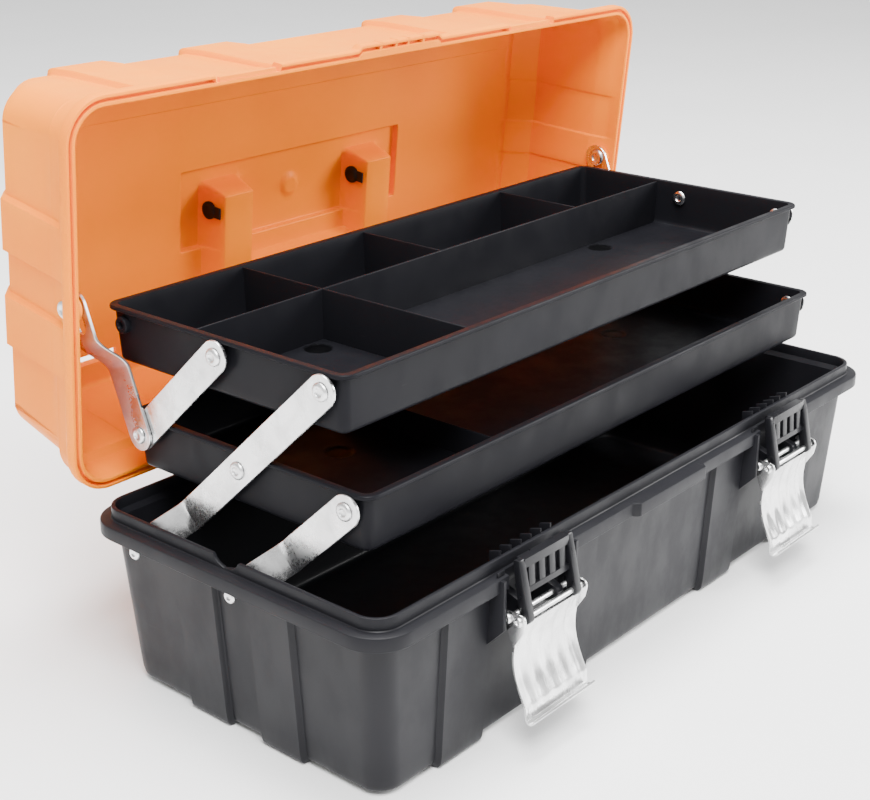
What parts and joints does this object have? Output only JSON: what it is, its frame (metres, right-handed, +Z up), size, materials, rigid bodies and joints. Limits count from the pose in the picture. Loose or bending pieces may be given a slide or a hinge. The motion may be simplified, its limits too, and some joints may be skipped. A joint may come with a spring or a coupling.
{
  "type": "cantilever tool box",
  "caption": "Long moulded tool box with a hinged orange lid, two trays that lift on steel links as the lid opens, over-centre latches and a fold-down carrying handle.",
  "frame": {"origin": "middle of the tub's floor, on the ground plane", "axes": "+Z up, -Y the front with the latches, X along the length"},
  "size_m": [0.5032, 0.3383, 0.3369],
  "materials": {
    "black_moulding": "moulded black plastic, fine satin grain",
    "orange_moulding": "moulded orange plastic, satin",
    "zinc_steel": "zinc-plated pressed steel",
    "handle_moulding": "moulded black plastic handle"
  },
  "bodies": {
    "base": {"base_tub": "black_moulding", "left_rivet_tub_rear": "zinc_steel", "left_rivet_tub_front": "zinc_steel", "left_hinge_pin": "zinc_steel", "left_latch_lever_pin": "zinc_steel", "right_rivet_tub_rear": "zinc_steel", "right_rivet_tub_front": "zinc_steel", "right_hinge_pin": "zinc_steel", "right_latch_lever_pin": "zinc_steel"},
    "lid_assembly": {"lid": "orange_moulding", "left_lid_stud": "zinc_steel", "left_handle_axle": "zinc_steel", "right_lid_stud": "zinc_steel", "right_handle_axle": "zinc_steel"},
    "handle": {"carry_handle": "handle_moulding"},
    "middle_tray_assembly": {"middle_tray": "black_moulding", "left_rivet_middle": "zinc_steel", "left_rivet_middle_front": "zinc_steel", "left_rivet_middle_rear": "zinc_steel", "right_rivet_middle": "zinc_steel", "right_rivet_middle_front": "zinc_steel", "right_rivet_middle_rear": "zinc_steel"},
    "upper_tray_assembly": {"upper_tray": "black_moulding", "left_rivet_upper": "zinc_steel", "left_rivet_upper_front": "zinc_steel", "right_rivet_upper": "zinc_steel", "right_rivet_upper_front": "zinc_steel"},
    "left_long_arm_body": {"left_long_arm": "zinc_steel"},
    "left_front_arm_body": {"left_front_arm": "zinc_steel"},
    "left_rear_arm_body": {"left_rear_arm": "zinc_steel"},
    "left_lid_bracket_body": {"left_lid_bracket": "zinc_steel"},
    "left_latch": {"left_latch_lever": "zinc_steel", "left_latch_hook_pin": "zinc_steel"},
    "left_hook": {"left_latch_hook": "black_moulding"},
    "right_long_arm_body": {"right_long_arm": "zinc_steel"},
    "right_front_arm_body": {"right_front_arm": "zinc_steel"},
    "right_rear_arm_body": {"right_rear_arm": "zinc_steel"},
    "right_lid_bracket_body": {"right_lid_bracket": "zinc_steel"},
    "right_latch": {"right_latch_lever": "zinc_steel", "right_latch_hook_pin": "zinc_steel"},
    "right_hook": {"right_latch_hook": "black_moulding"}
  },
  "joints": [
    {"name": "lid_hinge", "type": "hinge", "parent": "base", "child": "lid_assembly", "pos_m": [0, 0.1175, 0.1048], "axis": [1, 0, 0], "range_deg": [0, 84.6]},
    {"name": "left_long_arm_pivot", "type": "hinge", "parent": "base", "child": "left_long_arm_body", "pos_m": [0, 0.0754, 0.0883], "axis": [1, 0, 0], "range_deg": [0, 17.3]},
    {"name": "middle_tray_pivot", "type": "hinge", "parent": "left_long_arm_body", "child": "middle_tray_assembly", "pos_m": [0, 0.01193, 0.14853], "axis": [1, 0, 0], "range_deg": [-17.3, 0]},
    {"name": "upper_tray_pivot", "type": "hinge", "parent": "left_long_arm_body", "child": "upper_tray_assembly", "pos_m": [0, -0.04995, 0.20725], "axis": [1, 0, 0], "range_deg": [-17.3, 0]},
    {"name": "right_long_arm_pivot", "type": "hinge", "parent": "base", "child": "right_long_arm_body", "pos_m": [0, 0.0754, 0.0883], "axis": [1, 0, 0], "range_deg": [0, 17.3]},
    {"name": "left_front_arm_pivot", "type": "hinge", "parent": "base", "child": "left_front_arm_body", "pos_m": [0, -0.0006, 0.0883], "axis": [1, 0, 0], "range_deg": [0, 17.3]},
    {"name": "right_front_arm_pivot", "type": "hinge", "parent": "base", "child": "right_front_arm_body", "pos_m": [0, -0.0006, 0.0883], "axis": [1, 0, 0], "range_deg": [0, 17.3]},
    {"name": "left_rear_arm_pivot", "type": "hinge", "parent": "middle_tray_assembly", "child": "left_rear_arm_body", "pos_m": [0, 0.08793, 0.14853], "axis": [1, 0, 0], "range_deg": [0, 17.3]},
    {"name": "right_rear_arm_pivot", "type": "hinge", "parent": "middle_tray_assembly", "child": "right_rear_arm_body", "pos_m": [0, 0.08793, 0.14853], "axis": [1, 0, 0], "range_deg": [0, 17.3]},
    {"name": "left_lid_bracket_pivot", "type": "hinge", "parent": "middle_tray_assembly", "child": "left_lid_bracket_body", "pos_m": [0, 0.08793, 0.14853], "axis": [1, 0, 0], "range_deg": [0, 123.39]},
    {"name": "right_lid_bracket_pivot", "type": "hinge", "parent": "middle_tray_assembly", "child": "right_lid_bracket_body", "pos_m": [0, 0.08793, 0.14853], "axis": [1, 0, 0], "range_deg": [0, 123.39]},
    {"name": "handle_hinge", "type": "hinge", "parent": "lid_assembly", "child": "handle", "pos_m": [0, 0.18649, 0.22934], "axis": [1, 0, 0], "range_deg": [0, 90]},
    {"name": "left_latch_lever_hinge", "type": "hinge", "parent": "base", "child": "left_latch", "pos_m": [-0.1275, -0.113, 0.0789], "axis": [1, 0, 0], "range_deg": [-95, 5]},
    {"name": "left_latch_hook_hinge", "type": "hinge", "parent": "left_latch", "child": "left_hook", "pos_m": [-0.1275, -0.12, 0.0789], "axis": [1, 0, 0], "range_deg": [-7.3, 133.3]},
    {"name": "right_latch_lever_hinge", "type": "hinge", "parent": "base", "child": "right_latch", "pos_m": [0.1275, -0.113, 0.0789], "axis": [1, 0, 0], "range_deg": [-95, 5]},
    {"name": "right_latch_hook_hinge", "type": "hinge", "parent": "right_latch", "child": "right_hook", "pos_m": [0.1275, -0.12, 0.0789], "axis": [1, 0, 0], "range_deg": [-7.3, 133.3]}
  ],
  "couplings": [
    {"joint": "left_long_arm_pivot", "follows": "lid_hinge", "ratio": 0.20095},
    {"joint": "middle_tray_pivot", "follows": "lid_hinge", "ratio": -0.20095},
    {"joint": "upper_tray_pivot", "follows": "lid_hinge", "ratio": -0.20095},
    {"joint": "right_long_arm_pivot", "follows": "lid_hinge", "ratio": 0.20095},
    {"joint": "left_front_arm_pivot", "follows": "lid_hinge", "ratio": 0.20095},
    {"joint": "right_front_arm_pivot", "follows": "lid_hinge", "ratio": 0.20095},
    {"joint": "left_rear_arm_pivot", "follows": "lid_hinge", "ratio": 0.20095},
    {"joint": "right_rear_arm_pivot", "follows": "lid_hinge", "ratio": 0.20095},
    {"joint": "left_lid_bracket_pivot", "follows": "lid_hinge", "ratio": 1.455},
    {"joint": "right_lid_bracket_pivot", "follows": "lid_hinge", "ratio": 1.455},
    {"joint": "left_latch_hook_hinge", "follows": "left_latch_lever_hinge", "ratio": -1.4},
    {"joint": "right_latch_hook_hinge", "follows": "right_latch_lever_hinge", "ratio": -1.4}
  ]
}
